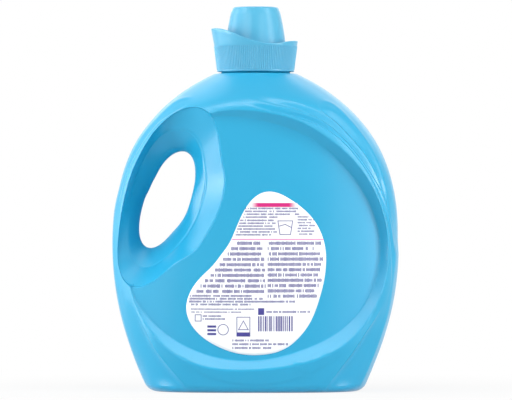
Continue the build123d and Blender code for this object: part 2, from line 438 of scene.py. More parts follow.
def plain_depth(x, z):
    """Depth of the plain bottle form."""
    girth = np.interp(z, level_table, girth_table)
    square = np.where(x > 0, front_square_line(girth), handle_square_line(girth))
    inside = np.maximum(1 - np.abs(x / width_line(girth)) ** square, 0)
    return depth_line(girth) * inside ** (1 / square)


def hole_reach(angle):
    """Reach of the handle hole's outline from the middle of the handle."""
    return hole_length * hole_line(angle) - hole_drop * np.sin(angle)


def rim_reach(angle):
    """Reach of the funnel's rim from the middle of the handle."""
    return rim_length * rim_line(angle) + rim_rise * np.sin(angle) - rim_sink / rim_cliff


rim_turns = np.linspace(-pi, pi, turn_samples)
rim_x = handle_x + rim_reach(rim_turns) * np.cos(rim_turns)
rim_z = handle_height + rim_reach(rim_turns) * np.sin(rim_turns)
rim_levels = soft_min(plain_depth(rim_x, rim_z), panel_depth(rim_x, rim_z), band_edge_round)
rim_ease = np.hanning(rim_blend + 2)[1:-1]
rim_ease /= rim_ease.sum()
rim_levels = np.convolve(np.pad(rim_levels[:-1], rim_blend, mode="wrap"), rim_ease, mode="same")
rim_levels = rim_levels[rim_blend : rim_blend + len(rim_turns) - 1]
rim_levels = np.append(rim_levels, rim_levels[0]) - rim_sink


def funnel_depth(x, z):
    """Depth of the handle's hole wall, lip and funnel, whose rim lies on the bottle's face."""
    across = x - handle_x
    up = z - handle_height
    angle = np.arctan2(up, across)
    reach = np.hypot(up, across)
    hole = hole_reach(angle)
    lip = lip_length * lip_line(angle)
    rim = rim_reach(angle)
    wall_share = np.clip((reach - hole) / (lip - hole), 0, 1)
    lip_level = lip_depth + lip * np.cos(angle) * tan(funnel_lean)
    slope = (np.interp(angle, rim_turns, rim_levels) - lip_level) / np.maximum(rim - lip, funnel_least)
    cliff = np.maximum(slope, rim_cliff) - slope
    funnel = soft_rise(reach - lip, lip_round) * slope + np.maximum(reach - rim, 0) * cliff
    groove_size = lip_groove * (lip_groove_share + (1 - lip_groove_share) * np.cos(angle))
    groove = groove_size * np.exp(-(((reach - lip) / lip_groove_width) ** 2))
    land = wall_land + wall_land_swing * np.cos(angle)
    return lip_level * (land + (1 - land) * wall_share**wall_roll) + funnel - groove


def bottle_depth(x, z, plain):
    """Depth of the finished front face over the parting plane."""
    return soft_min(soft_min(plain, panel_depth(x, z), band_edge_round), funnel_depth(x, z), rim_round)


def ease(share):
    """Smooth step from zero to one."""
    share = np.clip(share, 0, 1)
    return share * share * (3 - 2 * share)


def round_gap(x, z, turns, reaches):
    """Distance outside a moulded line that runs round the panel, and how far inside its ends, in degrees."""
    middle = (turns[0] + turns[-1]) / 2
    angle, away = round_panel(x, z)
    turn = middle + np.mod(np.degrees(angle) - middle + 180, 360) - 180
    line = cubic_line(turns, np.array(reaches) * mm)
    held = np.clip(turn, turns[0], turns[-1])
    reach = line(held)
    step = 0.2
    slope = (line(held + step) - line(held - step)) / np.radians(2 * step)
    gap = (away - reach) / np.sqrt(1 + (slope / reach) ** 2)
    return gap, np.minimum(turn - turns[0], turns[-1] - turn)


def leg_line(levels_up, places, z):
    """Place across of a leg's crease or edge at the given levels."""
    return cubic_line(levels_up, places)(np.clip(z / mm, levels_up[0], levels_up[-1])) * mm


def moulded_lines(x, z):
    """Nearness of the points to the moulded lines, from zero to one."""
    near = np.zeros_like(x)
    for turns, reaches, *_ in ridges + grooves:
        gap, inside = round_gap(x, z, turns, reaches)
        run_in = ease((inside + line_run_in) / line_run_in)
        near = np.maximum(near, np.exp(-((gap / line_focus) ** 2)) * run_in)
    for levels_up, creases, _ in legs:
        gap = x - leg_line(levels_up, creases, z)
        run_in = ease((leg_top - z) / crease_run_in)
        near = np.maximum(near, np.exp(-((gap / crease_focus) ** 2)) * run_in)
    angle, reach = round_panel(x, z)
    gap = reach - panel_size * panel_line(angle)
    return np.maximum(near, np.exp(-((gap / edge_focus) ** 2)))


def moulded_relief(x, z):
    """Height of the ridges, grooves and legs over the plain form."""
    height = np.zeros_like(x)
    for turns, reaches, rise, flank, fall, taper in ridges:
        gap, inside = round_gap(x, z, turns, reaches)
        profile = ease(gap / (flank * mm)) * (1 - ease((gap / mm - flank) / fall))
        height += rise * mm * profile * ease(inside / taper)
    for turns, reaches, depth, width in grooves:
        gap, inside = round_gap(x, z, turns, reaches)
        height -= depth * mm * np.exp(-((gap / (width * mm)) ** 2)) * ease(inside / groove_taper)
    for levels_up, creases, edges in legs:
        crease = leg_line(levels_up, creases, z)
        edge = leg_line(levels_up, edges, z)
        share = (x - crease) / (edge - crease)
        foot_share = leg_foot_share + (1 - leg_foot_share) * ease(z / leg_foot_rise)
        tall = leg_height * ease((leg_top - z) / leg_run_out) * foot_share
        on_leg = np.sin(pi * np.clip(share, 0, 1) ** leg_round)
        off_leg = np.exp(-((np.minimum(share, 0) * (edge - crease) / crease_width) ** 2))
        valley = np.where(share < 0, off_leg, np.exp(-((share / crease_share) ** 2)))
        height += tall * (on_leg - crease_depth * valley)
    return height


def bottle_points(angle, row):
    """Points of the finished front half at the given angles and rows."""
    x, plain, z = form_point(angle, row)
    depth = bottle_depth(x, z, plain)
    points = np.stack([x, -depth, z], axis=-1)

    # The relief stands on the plain form only, square to it
    step_angle = 0.002
    step_row = 0.2 * mm
    before = np.stack(form_point(angle - step_angle, row), axis=-1)
    after = np.stack(form_point(angle + step_angle, row), axis=-1)
    lower = np.stack(form_point(angle, np.maximum(row - step_row, row_low)), axis=-1)
    upper = np.stack(form_point(angle, np.minimum(row + step_row, row_high)), axis=-1)
    out = np.cross(upper - lower, after - before)
    out /= np.linalg.norm(out, axis=-1, keepdims=True)
    height = moulded_relief(x, z) * ease(relief_limit - (plain - depth) / relief_reach)
    lift = out * height[..., None] * (1, -1, 1)
    lift[..., 2] *= ease((z - relief_foot) / relief_foot_run)
    return points + lift


def sort_pair(keys, values):
    """Both lists in the order of the first."""
    order = np.argsort(keys)
    return keys[order], values[order]


def ray_grid():
    """Angles and rows of the front half's grid: rays from the handle hole to the edge of the half."""
    low = np.linspace(pi, 0, bottom_rays, endpoint=False)
    right = np.linspace(row_low, row_high, right_rays, endpoint=False)
    high = np.linspace(0, pi, top_rays, endpoint=False)
    left = np.linspace(row_high, row_low, left_rays, endpoint=False)
    edge_angle = np.concatenate([low, 0 * right, high, 0 * left + pi])
    edge_row = np.concatenate([0 * low + row_low, right, 0 * high + row_high, left])

    # Hole outline in the same angles and rows
    turn = np.linspace(0, 2 * pi, hole_samples, endpoint=False)
    hole_x = handle_x + hole_reach(turn) * np.cos(turn)
    hole_z = handle_height + hole_reach(turn) * np.sin(turn)
    hole_girth = np.interp(hole_z, level_table, girth_table)
    trial = np.linspace(pi, 0, turn_samples)
    hole_angle = np.array(
        [np.interp(x, section_point(trial, girth, 0)[0], trial) for x, girth in zip(hole_x, hole_girth)]
    )
    hole_row = hole_girth - foot_girth
    middle_angle = hole_angle.mean()
    middle_row = hole_row.mean()
    hole_turn = np.arctan2(hole_row - middle_row, -(hole_angle - middle_angle) * girth_scale)
    hole_away = np.hypot(hole_row - middle_row, (hole_angle - middle_angle) * girth_scale)
    edge_turn = np.arctan2(edge_row - middle_row, -(edge_angle - middle_angle) * girth_scale)
    start = np.interp(edge_turn, *sort_pair(hole_turn, hole_away), period=2 * pi)
    start_angle = middle_angle - start * np.cos(edge_turn) / girth_scale
    start_row = middle_row + start * np.sin(edge_turn)

    # Steps along each ray lie closer where the surface bends and at its moulded lines
    share = np.linspace(0, 1, trial_steps)
    angle = start_angle[:, None] + (edge_angle - start_angle)[:, None] * share
    row = start_row[:, None] + (edge_row - start_row)[:, None] * share
    steps = np.diff(bottle_points(angle, row), axis=1)
    lengths = np.linalg.norm(steps, axis=-1)
    heading = steps / lengths[..., None]
    bend = np.linalg.norm(np.diff(heading, axis=1), axis=-1)
    bend = np.minimum(np.pad(bend, ((0, 0), (1, 0))), bend_limit)
    lengths /= lengths.sum(axis=1, keepdims=True)
    weight = lengths + bend_weight * bend / bend.sum(axis=1, keepdims=True)
    x, _, z = form_point(angle[:, :-1], row[:, :-1])
    weight *= 1 + line_weight * moulded_lines(x, z)
    kernel = np.hanning(step_blend)
    kernel /= kernel.sum()
    weight = np.array([np.convolve(line, kernel, mode="same") for line in weight])
    total = np.pad(np.cumsum(weight, axis=1), ((0, 0), (1, 0)))
    total /= total[:, -1:]
    even = np.linspace(0, 1, ray_steps + 1)
    places = np.array([np.interp(even, line, share) for line in total])
    shifts = range(-ray_spread, ray_spread + 1)
    places = sum(np.roll(places, shift, axis=0) for shift in shifts) / len(shifts)
    angle = start_angle[:, None] + (edge_angle - start_angle)[:, None] * places
    row = start_row[:, None] + (edge_row - start_row)[:, None] * places
    return angle, row


def ring_stack(rings, closed=True):
    """Points and quads of a skin over rings, or open rows, of points with equal counts."""
    rings = np.asarray(rings)
    columns = rings.shape[1]
    count = columns if closed else columns - 1
    row, column = np.meshgrid(np.arange(len(rings) - 1), np.arange(count), indexing="ij")
    here = row * columns + column
    beside = row * columns + (column + 1) % columns
    quads = np.stack([here, beside, beside + columns, here + columns], axis=-1)
    return rings.reshape(-1, 3), quads.reshape(-1, 4)


def round_ring(radius, level, turn):
    """Points round the neck's axis, at a radius and level that may change with the turn."""
    return np.stack([radius * np.cos(turn), radius * np.sin(turn), level * np.ones_like(turn)], axis=-1)


def make_piece(name, skins, material, smooth_angle=None):
    """One mesh from several skins, with its doubles merged and its faces turned outwards."""
    points = []
    faces = []
    start = 0
    for skin_points, skin_faces in skins:
        points.append(skin_points)
        faces.extend((np.asarray(skin_faces) + start).tolist())
        start += len(skin_points)
    mesh = bpy.data.meshes.new(name)
    mesh.from_pydata(np.concatenate(points).tolist(), [], faces)
    shape = bmesh.new()
    shape.from_mesh(mesh)
    bmesh.ops.remove_doubles(shape, verts=shape.verts, dist=double_reach)
    bmesh.ops.recalc_face_normals(shape, faces=shape.faces)
    for face in shape.faces:
        face.smooth = True
    if smooth_angle is not None:
        for edge in shape.edges:
            edge.smooth = len(edge.link_faces) != 2 or edge.calc_face_angle(0) < smooth_angle
    shape.to_mesh(mesh)
    shape.free()
    mesh.materials.append(material)
    piece = bpy.data.objects.new(name, mesh)
    bpy.context.scene.collection.objects.link(piece)
    return piece


def bottle_skins():
    """Inner and outer front, back half, and the foot's underside with the neck."""
    angle, row = ray_grid()
    front = bottle_points(angle, row)
    front[:, 0, 1] = 0
    sides = np.isclose(np.sin(angle[:, -1]), 0, atol=1e-9)
    front[sides, -1, 1] = 0
    back = (front * (1, -1, 1))[:, ::2]
    split = ray_steps // 2
    parts = (front[:, : split + 1], front[:, split:], back)
    halves = [ring_stack(part.transpose(1, 0, 2)) for part in parts]
    skins = []

    # Foot ring and the hollow under it
    low = angle[: bottom_rays + 1, -1]
    around = np.concatenate([low, -low[-2:0:-1]])
    slope_end = foot_ring + 2 * foot_hollow
    profile = [
        (foot_round, 0), (foot_ring - foot_ease, 0), (foot_ring, foot_dip),
        (slope_end - foot_ease, foot_hollow - hollow_dip), (slope_end + hollow_step, foot_hollow),
    ]
    rings = []
    for inset, level in profile:
        across, along = section_point(around, np.zeros_like(around), inset)
        rings.append(np.stack([across, -along, np.full_like(across, level)], axis=-1))
    hollow = rings[-1]
    rings += [hollow * (share, share, 1) for share in (0.75, 0.5, 0.25, 0)]
    skins.append(ring_stack(rings))

    # Neck and its bore
    first = bottom_rays + right_rays
    top = front[first : first + top_rays + 1, -1]
    loop = np.concatenate([top, (top * (1, -1, 1))[-2:0:-1]])
    turn = np.arctan2(loop[:, 1], loop[:, 0])
    root = neck_root_round
    profile = [
        (neck_radius + root * (1 - sin(a)), shoulder_height + root * (1 - cos(a)))
        for a in np.linspace(0, pi / 2, 6)
    ]
    profile += [
        (neck_radius, neck_top - neck_edge), (neck_radius - neck_edge, neck_top),
        (neck_bore_radius, neck_top), (neck_bore_radius, well_floor - neck_bore_run),
    ]
    skins.append(ring_stack([loop] + [round_ring(radius, level, turn) for radius, level in profile]))
    return *halves, skins


# Cap
wave_line = cubic_line(
    np.array(wave_place_shares) * collar_radius, skirt_top + np.array(wave_height_shares) * collar_height
)


def cup_radius(share):
    """Outer radius of the cup at a share of the way down from its top."""
    return cup_top_radius + (cup_root_radius - cup_top_radius) * share + 4 * cup_bulge * share * (1 - share)


def cap_rings():
    """Rings of the cap's skin, from the middle of its top over collar and skirt to the cup's inside."""
    turn = np.arange(2 * rib_count) * pi / rib_count

    # Outside of the cup
    bend = np.linspace(0, pi / 2, 7)
    rings = [(share * cup_top_radius, cup_top - cup_dish) for share in cup_dish_shares]
    rings.append((cup_edge_share * cup_top_radius, cup_top))
    rings += [(cup_top_radius - cup_round * (1 - sin(a)), cup_top - cup_round * (1 - cos(a))) for a in bend]
    for share in np.linspace(0.12, 0.93, 14):
        rings.append((cup_radius(share), cup_top + (shelf_top - cup_top) * share))
    root = cup_foot_round
    rings += [(cup_root_radius + root * (1 - cos(a)), shelf_top + root * (1 - sin(a))) for a in bend[1:]]
    inner_foot = skirt_top_radius - cap_wall
    rings += [(inner_foot - root * (1 - sin(a)), shelf_top + root * (1 - cos(a))) for a in bend[:-1]]

    # Collar, up its inside and down its outside, under the wavy edge
    collar_flare = (collar_radius - skirt_top_radius) / collar_height
    edge = wave_line((skirt_top_radius + 0.5 * (collar_radius - skirt_top_radius)) * np.cos(turn))
    for _ in range(4):
        edge = wave_line((skirt_top_radius + collar_flare * (edge - skirt_top)) * np.cos(turn))
    tip = cap_wall / 2
    levels_up = [skirt_top + (edge - tip - skirt_top) * share for share in np.linspace(0, 1, 6)]
    rings += [(inner_foot + collar_flare * (level - skirt_top), level) for level in levels_up]
    for a in np.linspace(pi, 0, 7)[1:-1]:
        level = edge - tip + tip * sin(a)
        middle = skirt_top_radius - tip + collar_flare * (level - skirt_top)
        rings.append((middle + tip * cos(a), level))
    rings += [(skirt_top_radius + collar_flare * (level - skirt_top), level) for level in levels_up[::-1]]

    # Skirt, shelf, sleeve and the cup's inside
    flare = (skirt_top_radius - skirt_radius) / (skirt_top - skirt_bottom)
    rings += [
        (skirt_top_radius - skirt_step, skirt_top - cap_edge),
        (skirt_radius + flare * plain_lip, skirt_bottom + plain_lip),
        (skirt_radius + rib_height, skirt_bottom + plain_lip - cap_edge),
        (skirt_radius + rib_height, skirt_bottom + cap_edge),
        (skirt_radius + rib_height - cap_edge, skirt_bottom),
        (skirt_radius - cap_wall + cap_edge, skirt_bottom),
        (skirt_radius - cap_wall, skirt_bottom + cap_edge),
        (skirt_top_radius - 2 * cap_wall, shelf_bottom),
        (sleeve_radius + shelf_corner, shelf_bottom),
        (sleeve_radius, shelf_bottom - shelf_corner),
        (sleeve_radius, sleeve_bottom + sleeve_edge),
        (sleeve_radius - sleeve_edge, sleeve_bottom),
        (sleeve_radius - cap_wall + sleeve_edge, sleeve_bottom),
        (sleeve_radius - cap_wall, sleeve_bottom + sleeve_edge),
        (sleeve_radius - cap_wall, shelf_bottom),
        (cup_root_radius - cap_wall, shelf_top),
    ]
    ceiling = cup_top - cap_wall
    for share in np.linspace(0.1, 0.9, 9):
        rings.append((cup_radius(1 - share) - cap_wall, shelf_top + (ceiling - shelf_top) * share))
    rings += [
        (cup_top_radius - cap_wall - cup_ceiling_corner, ceiling - cup_ceiling_step),
        (cup_top_radius - cup_ceiling_edge, ceiling - 2 * cup_ceiling_step),
        (0, ceiling - 2 * cup_ceiling_step),
    ]
    return [round_ring(radius, level, turn) for radius, level in rings]


def thread_skin(radius, height, low, high, side):
    """A fine rounded thread ridge wound round a sleeve. Its crest stands out, side 1, or in, side -1."""
    turns = (high - low) / thread_pitch
    place = np.linspace(0, 1, int(thread_columns * turns))
    angle = 2 * pi * turns * place
    fade = np.clip(np.minimum(place, 1 - place) * turns * thread_run_in, 0, 1)
    rings = []
    half_width = thread_half_width * (thread_tip_share + (1 - thread_tip_share) * fade)
    for across, share in thread_form:
        reach = radius + side * height * np.where(share > 0, share * fade, share)
        rings.append(round_ring(reach, low + (high - low) * place + across * half_width, angle))
    return ring_stack(rings, False)


def spout_skins():
    """Well, flange, floor and slanted pourer of the spout."""
    turn = np.arange(spout_columns) * 2 * pi / spout_columns
    profile = [
        (well_radius, well_floor), (well_radius, flange_top - spout_edge),
        (well_radius + spout_edge, flange_top), (flange_radius - spout_edge, flange_top),
        (flange_radius, flange_top - spout_edge), (flange_radius, neck_top),
        (well_outer_radius, neck_top), (well_outer_radius, well_floor - spout_wall),
    ]
    wall = [round_ring(radius, level, turn) for radius, level in profile]
    skins = []
    for drop, start in ((0, wall[0]), (spout_wall, wall[-1])):
        rings = [start]
        reach = pourer_radius - spout_wall
        tube = np.stack([pourer_offset + reach * np.cos(turn), reach * np.sin(turn), 0 * turn], axis=-1)
        for share in (0.25, 0.5, 0.75, 1):
            ring = start * (1 - share) + tube * share
            ring[:, 2] = well_floor - drop - well_fall * (1 - np.hypot(ring[:, 0], ring[:, 1]) / well_radius)
            rings.append(ring)
        skins.append(ring_stack(rings))
    skins.append(ring_stack(wall))

    # Pourer tube with its drain slot at the handle side
    gap = np.arcsin(drain_width / 2 / pourer_radius)
    sweep = np.linspace(-pi + gap, pi - gap, pourer_columns)
    rows = []
    foot = well_floor - well_fall - spout_wall
    for radius in (pourer_radius, pourer_radius - spout_wall):
        x = pourer_offset + radius * np.cos(sweep)
        y = radius * np.sin(sweep)
        crest = pourer_top - (pourer_offset + pourer_radius - x) * tan(pourer_slant)
        shares = np.linspace(0, 1, pourer_rows)
        column = [np.stack([x, y, foot + (crest - foot) * share], axis=-1) for share in shares]
        rows += column if radius == pourer_radius else column[::-1]
    rows.append(rows[0])
    rows = np.array(rows)
    skins.append(ring_stack(rows, False))
    for end in (0, -1):
        edge = rows[:-1, end]
        half = len(edge) // 2
        skins.append(ring_stack([edge[:half], edge[: half - 1 : -1]], False))
    return skins


def panel_front(x, lift=0.0):
    """Depth of the panel's face, or of a film that lies on it."""
    return panel_face - panel_radius + np.sqrt((panel_radius + lift) ** 2 - x**2)


label_line = round_line(label_shares)


def label_skin():
    """Film that lies on the panel, inside its printed outline."""
    turn = np.arange(label_columns) * 2 * pi / label_columns
    reach = label_size * label_line(turn)
    lifts = [(k / label_rings, label_film) for k in range(label_rings + 1)]
    rings = []
    for share, lift in lifts + [(1, label_edge)]:
        x = label_x + share * reach * np.cos(turn)
        z = label_height + share * reach * np.sin(turn)
        rings.append(np.stack([x, -panel_front(x, lift), z], axis=-1))
    return ring_stack(rings)


def on_film(x, z):
    """Points of print that lies on the label."""
    return np.stack([x, -panel_front(x, label_film + print_lift), z], axis=-1)


def box_mark(left, right, low, high):
    """Filled upright box of print. Its sides are in mm."""
    x, z = np.meshgrid(np.linspace(left, right, box_columns) * mm, np.array([low, high]) * mm)
    return ring_stack(on_film(x, z), False)


def line_mark(corners, closed):
    """Print line of even width through the corners, which are in mm."""
    corners = np.array(corners) * mm
    ends = list(zip(corners[:-1], corners[1:]))
    if closed:
        ends.append((corners[-1], corners[0]))
    skins = []
    for start, end in ends:
        along = (end - start) / np.linalg.norm(end - start) * mark_line / 2
        side = np.array([-along[1], along[0]])
        share = np.linspace(0, 1, line_columns)[:, None]
        middle = (start - along) * (1 - share) + (end + along) * share
        edges = np.stack([middle - side, middle + side])
        skins.append(ring_stack(on_film(edges[..., 0], edges[..., 1]), False))
    return skins


def ring_mark(x, z, radius):
    """Round print line. Its middle and radius are in mm."""
    turn = np.arange(ring_columns) * 2 * pi / ring_columns
    rings = []
    for reach in (radius * mm - mark_line / 2, radius * mm + mark_line / 2):
        rings.append(on_film(x * mm + reach * np.cos(turn), z * mm + reach * np.sin(turn)))
    return ring_stack(rings)


def print_marks():
    """Upright stripes and the small plain shapes among the rows."""
    left, right, low, high = stripes_box
    chance = np.random.default_rng(print_seed)
    skins = []
    place = left
    while place < right - stripe_margin:
        width = chance.choice(stripe_widths)
        skins.append(box_mark(place, place + width, low, high))
        place += width + chance.choice(stripe_gaps)
    for corners in (cup_mark, phone_mark, bin_mark, loop_mark):
        skins += line_mark(corners, True)
    skins += line_mark(cup_level_mark, False)
    skins += [ring_mark(*water_mark), box_mark(*badge_box)]
    left, right, low, high = water_box
    for share in water_shares:
        level = low + (high - low) * share
        skins.append(box_mark(left, right, level, level + band_share * (high - low)))
    left, right, low, high = bin_mark[0][0], bin_mark[1][0], bin_mark[2][1], bin_mark[0][1]
    skins.append(box_mark(left, right, low, low + band_share * (high - low)))
    return skins


def row_lines():
    """Mesh of one edge for each row of print, with the row's height on its points."""
    points = []
    heights = []
    for first, step, height, starts, ends in print_rows:
        for k, (start, end) in enumerate(zip(starts, ends)):
            level = (first - k * step) * mm
            points += [(start * mm, 0, level), (end * mm, 0, level)]
            heights += [height * mm, height * mm]
    mesh = bpy.data.meshes.new("print_rows")
    mesh.from_pydata(points, [(k, k + 1) for k in range(0, len(points), 2)], [])
    mesh.attributes.new("row_height", "FLOAT", "POINT").data.foreach_set("value", heights)
    return mesh


# Materials
grain_depth = 0.1 * mm
film_colour = (0.90, 0.91, 0.92)
satin_share = 0.4
funnel_tip = (-96 * mm, 20 * mm, 110 * mm)
funnel_tip_reach = 44 * mm
funnel_tip_extra = 0.14


def fill_inputs(tree, node, inputs):
    """Give a node its inputs: an output socket is linked, anything else is set as a value."""
    for key, value in inputs.items():
        if isinstance(value, bpy.types.NodeSocket):
            tree.links.new(value, node.inputs[key])
        else:
            node.inputs[key].default_value = value


def add_node(tree, kind, inputs, **settings):
    """New node with its settings and inputs."""
    node = tree.nodes.new(kind)
    for name, value in settings.items():
        setattr(node, name, value)
    fill_inputs(tree, node, inputs)
    return node


def add_math(tree, operation, *values):
    """Result of one sum on numbers and sockets."""
    node = add_node(tree, "ShaderNodeMath", dict(enumerate(values)), operation=operation)
    return node.outputs["Value"]


def add_fade(tree, value, start, end, first, last):
    """Smooth change from the first level, up to the start, to the last level, from the end on."""
    limits = {"Value": value, "From Min": start, "From Max": end, "To Min": first, "To Max": last}
    return add_node(tree, "ShaderNodeMapRange", limits, interpolation_type="SMOOTHSTEP").outputs["Result"]


def object_place(tree):
    """Object coordinates."""
    return add_node(tree, "ShaderNodeTexCoord", {}).outputs["Object"]


def split_axes(tree, vector):
    """X, Y and Z of a vector, as sockets."""
    return add_node(tree, "ShaderNodeSeparateXYZ", {"Vector": vector}).outputs


def join_axes(tree, **axes):
    """Vector with the given X, Y and Z."""
    return add_node(tree, "ShaderNodeCombineXYZ", axes).outputs["Vector"]


def add_mix(tree, factor, first, last):
    """Colour between two colours."""
    inputs = {"Factor": factor, "A": first, "B": last}
    return add_node(tree, "ShaderNodeMix", inputs, data_type="RGBA").outputs["Result"]


def named_group(name, kind, sockets_in, sockets_out):
    """Empty node group with named sockets: the group, the sockets it is given, and its output node."""
    group = bpy.data.node_groups.new(name, kind)
    for in_out, sockets in (("INPUT", sockets_in), ("OUTPUT", sockets_out)):
        for label, socket in sockets.items():
            group.interface.new_socket(label, in_out=in_out, socket_type="NodeSocket" + socket)
    return group, group.nodes.new("NodeGroupInput").outputs, group.nodes.new("NodeGroupOutput")


def moulded_skin_group():
    """Slight cloudiness, fine grain and gloss changes of moulded plastic, on Object coordinates."""
    group, given, out = named_group(
        "moulded_skin", "ShaderNodeTree",
        {
            "Colour": "Color", "Pale Colour": "Color", "Cloud Scale": "Float", "Grain Scale": "Float",
            "Roughness": "Float", "Roughness Change": "Float",
        },
        {"Colour": "Color", "Roughness": "Float", "Height": "Float"},
    )
    place = object_place(group)
    cloud, grain = (
        add_node(
            group, "ShaderNodeTexNoise", {"Vector": place, "Scale": given[scale], "Detail": detail}
        ).outputs["Fac"]
        for scale, detail in (("Cloud Scale", 3), ("Grain Scale", 4))
    )
    spread = add_node(group, "ShaderNodeMapRange", {"Value": cloud, "From Min": 0.35, "From Max": 0.65})
    tint = add_mix(group, spread.outputs["Result"], given["Colour"], given["Pale Colour"])
    rough = add_math(group, "MULTIPLY_ADD", grain, given["Roughness Change"], given["Roughness"])
    fill_inputs(group, out, {"Colour": tint, "Roughness": rough, "Height": grain})
    return group


moulded_skin = moulded_skin_group()


def plastic(name, colours, roughness, bump, cloud_scale=18.0, grain_scale=900.0, specular=0.5, change=0.08):
    """Moulded plastic with the shared skin, its own two colours, gloss and grain."""
    material = bpy.data.materials.new(name)
    material.use_nodes = True
    tree = material.node_tree
    skin = add_node(
        tree, "ShaderNodeGroup",
        {
            "Colour": (*colours[0], 1), "Pale Colour": (*colours[1], 1), "Cloud Scale": cloud_scale,
            "Grain Scale": grain_scale, "Roughness": roughness, "Roughness Change": change,
        },
        node_tree=moulded_skin,
    ).outputs
    grain = add_node(
        tree, "ShaderNodeBump", {"Strength": bump, "Distance": grain_depth, "Height": skin["Height"]}
    )
    fill_inputs(
        tree, tree.nodes["Principled BSDF"],
        {
            "Base Color": skin["Colour"], "Roughness": skin["Roughness"], "Normal": grain.outputs["Normal"],
            "Specular IOR Level": specular,
        },
    )
    return material


def satin_zone(material, middle, reach, extra):
    """Add roughness round a place, the same on both sides."""
    tree = material.node_tree
    axes = split_axes(tree, object_place(tree))
    folded = join_axes(tree, X=axes["X"], Y=add_math(tree, "ABSOLUTE", axes["Y"]), Z=axes["Z"])
    away = add_node(tree, "ShaderNodeVectorMath", {0: folded, 1: middle}, operation="DISTANCE")
    fade = add_fade(tree, away.outputs["Value"], satin_share * reach, reach, extra, 0.0)
    rough = tree.nodes["Principled BSDF"].inputs["Roughness"]
    tree.links.new(add_math(tree, "ADD", rough.links[0].from_socket, fade), rough)


def fading_ink(name, ink, left, right, ends):
    """Printed field that is full of ink along its middle and fades to the white film at its ends."""
    material = plastic(name, (ink, ink), 0.28, 0.10)
    tree = material.node_tree
    axes = split_axes(tree, object_place(tree))
    reach = add_math(tree, "ABSOLUTE", add_math(tree, "SUBTRACT", axes["X"], (left + right) / 2))
    half = (right - left) / 2
    fade = add_fade(tree, reach, half - ends, half, 0.0, 1.0)
    base = tree.nodes["Principled BSDF"].inputs["Base Color"]
    tree.links.new(add_mix(tree, fade, base.links[0].from_socket, (*film_colour, 1)), base)
    return material


bottle_blue = plastic(
    "bottle_blue", ((0.011, 0.362, 0.617), (0.014, 0.373, 0.631)), 0.276, 0.01, specular=0.54, change=0.02
)
satin_zone(bottle_blue, funnel_tip, funnel_tip_reach, funnel_tip_extra)
cap_blue = plastic(
    "cap_blue", ((0.072, 0.410, 0.625), (0.080, 0.422, 0.639)), 0.276, 0.02, grain_scale=1200.0, change=0.02
)
spout_milky = plastic(
    "spout_milky", ((0.780, 0.835, 0.865), (0.820, 0.865, 0.890)), 0.34, 0.10, grain_scale=1200.0
)
label_white = plastic(
    "label_white", ((0.95, 0.955, 0.96), (0.97, 0.975, 0.98)), 0.22, 0.06, grain_scale=1600.0
)
ink_violet = plastic(
    "ink_violet", ((0.045, 0.040, 0.255), (0.060, 0.052, 0.285)), 0.30, 0.10, cloud_scale=600.0
)
ink_pink = plastic("ink_pink", ((0.760, 0.235, 0.520), (0.790, 0.265, 0.550)), 0.28, 0.10, cloud_scale=300.0)
ink_magenta = fading_ink("ink_magenta", (0.660, 0.012, 0.205), pill_box[0] * mm, pill_box[1] * mm, pill_fade)


# Geometry Nodes
def paint_tree(tree, shape, material, out):
    """Last step of a tree: give the shape its material and hand it out."""
    paint = add_node(tree, "GeometryNodeSetMaterial", {"Geometry": shape, "Material": material})
    fill_inputs(tree, out, {"Geometry": paint.outputs["Geometry"]})


def skirt_ribs_tree():
    """Upright low ribs at equal angles round a flared skirt."""
    tree, given, out = named_group(
        "skirt_ribs", "GeometryNodeTree",
        {
            "Rib Count": "Int", "Rib Form": "Vector", "Lean": "Vector", "Foot": "Vector",
            "Plastic": "Material",
        },
        {"Geometry": "Geometry"},
    )
    spine = add_node(tree, "GeometryNodeCurvePrimitiveLine", {}).outputs["Curve"]
    section = add_node(tree, "GeometryNodeCurvePrimitiveCircle", {"Resolution": 12}).outputs["Curve"]
    rib = add_node(
        tree, "GeometryNodeCurveToMesh", {"Curve": spine, "Profile Curve": section, "Fill Caps": True}
    )
    form = add_node(
        tree, "GeometryNodeTransform", {"Geometry": rib.outputs["Mesh"], "Scale": given["Rib Form"]}
    )
    stand = add_node(
        tree, "GeometryNodeTransform",
        {"Geometry": form.outputs["Geometry"], "Rotation": given["Lean"], "Translation": given["Foot"]},
    )
    stations = add_node(tree, "GeometryNodePoints", {"Count": given["Rib Count"]})
    index = add_node(tree, "GeometryNodeInputIndex", {}).outputs["Index"]
    turn = add_math(tree, "MULTIPLY", index, add_math(tree, "DIVIDE", 2 * pi, given["Rib Count"]))
    place = add_node(
        tree, "GeometryNodeInstanceOnPoints",
        {
            "Points": stations.outputs["Points"], "Instance": stand.outputs["Geometry"],
            "Rotation": join_axes(tree, Z=turn),
        },
    )
    real = add_node(tree, "GeometryNodeRealizeInstances", {"Geometry": place.outputs["Instances"]})
    soft = add_node(tree, "GeometryNodeSetShadeSmooth", {"Geometry": real.outputs["Geometry"]})
    paint_tree(tree, soft.outputs["Geometry"], given["Plastic"], out)
    return tree


